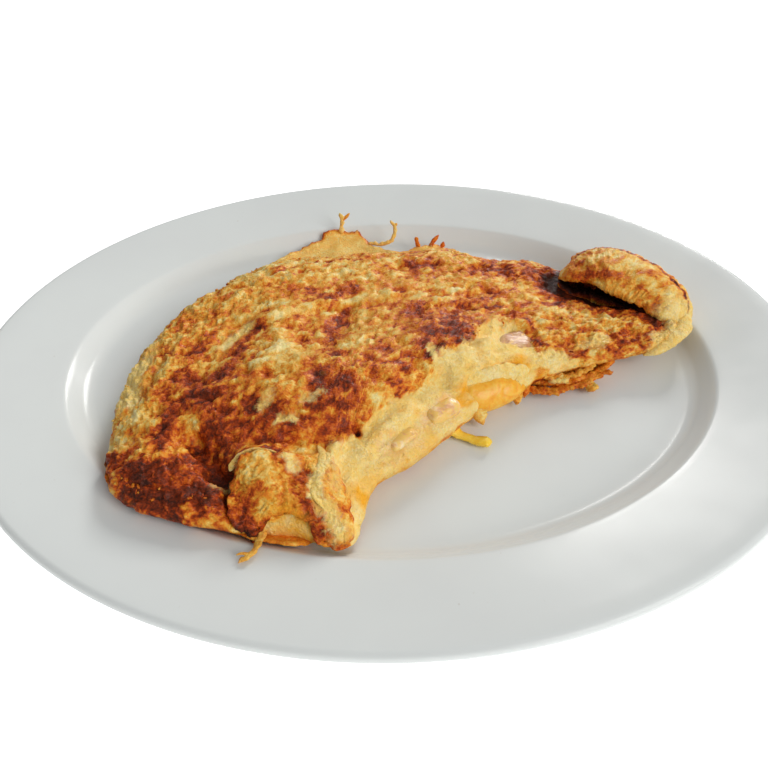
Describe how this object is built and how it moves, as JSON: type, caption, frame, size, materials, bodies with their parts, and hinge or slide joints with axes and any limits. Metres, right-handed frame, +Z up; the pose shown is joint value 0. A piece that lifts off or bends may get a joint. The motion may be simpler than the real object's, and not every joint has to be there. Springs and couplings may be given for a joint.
{
  "type": "folded omelette on a plate",
  "caption": "Folded omelette, browned outside, with melted cheese and ham showing at a tear in its fold, served on an oval porcelain plate.",
  "frame": {"origin": "centre of the plate, on the surface that its foot ring stands on", "axes": "+X along the plate's long axis, towards the omelette's rolled-up end; +Z up; the omelette's fold faces -Y"},
  "size_m": [0.32, 0.262, 0.0357],
  "materials": {
    "porcelain": "glossy cool white glaze",
    "cooked_egg": "cooked egg, browned in patches, slightly oily",
    "melted_cheese": "melted cheese, soft and moist",
    "ham": "cooked ham, moist"
  },
  "bodies": {
    "root": {"plate": "porcelain", "egg": "cooked_egg", "cheese_filling": "melted_cheese", "ham_1": "ham", "ham_2": "ham", "ham_3": "ham"}
  },
  "joints": []
}
